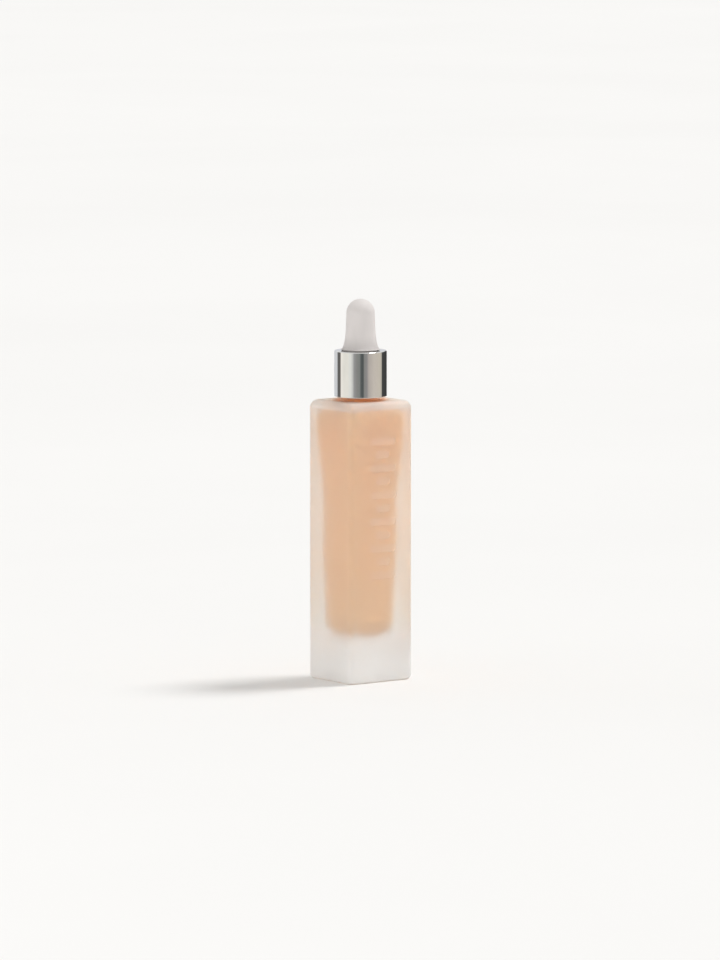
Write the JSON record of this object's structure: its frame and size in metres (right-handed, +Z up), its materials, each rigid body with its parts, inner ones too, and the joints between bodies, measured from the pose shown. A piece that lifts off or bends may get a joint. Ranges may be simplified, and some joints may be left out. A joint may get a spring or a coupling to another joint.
{
  "type": "dropper bottle",
  "caption": "Tall frosted glass foundation bottle with thick foot, polished screw collar, white rubber dropper bulb and glass pipette.",
  "frame": {"origin": "centre of the base, on the surface the bottle stands on", "axes": "+Z up through the neck; the wide face with the debossed panel faces -Y; +X across it"},
  "size_m": [0.0296, 0.0272, 0.1453],
  "materials": {
    "frosted_glass": "acid-etched satin outside, clear inside",
    "foundation": "opaque liquid, light peach beige",
    "white_moulding": "natural white moulding",
    "seal_foam": "fine closed-cell foam",
    "clear_glass": "clear, fire-polished ends",
    "polished_aluminium": "mirror polished",
    "white_rubber": "soft matte"
  },
  "bodies": {
    "bottle": {"glass_bottle": "frosted_glass", "foundation_fill": "foundation", "pipette_wiper": "white_moulding"},
    "dropper_seal": {"sealing_gasket": "seal_foam"},
    "dropper_stem": {"glass_pipette": "clear_glass"},
    "dropper_cap": {"inner_cap": "white_moulding", "collar_shell": "polished_aluminium"},
    "dropper_bulb": {"rubber_bulb": "white_rubber"}
  },
  "joints": [
    {"name": "dropper_lift", "type": "slide", "parent": "bottle", "child": "dropper_seal", "axis": [0, 0, 1], "range_m": [0, 0.108]},
    {"name": "thread_rise", "type": "slide", "parent": "dropper_seal", "child": "dropper_stem", "axis": [0, 0, 1], "range_m": [0, 0.0045]},
    {"name": "cap_unscrew", "type": "hinge", "parent": "dropper_stem", "child": "dropper_cap", "pos_m": [0, 0, 0.117], "axis": [0, 0, 1], "range_deg": [0, 540.5]},
    {"name": "bulb_squeeze", "type": "slide", "parent": "dropper_cap", "child": "dropper_bulb", "axis": [0, 0, -1], "range_m": [0, 0.004], "stiffness_N_per_m": 600, "deforming": ["rubber_bulb"]}
  ],
  "couplings": [
    {"joint": "cap_unscrew", "follows": "thread_rise", "rad_per_m": 2094.4}
  ]
}
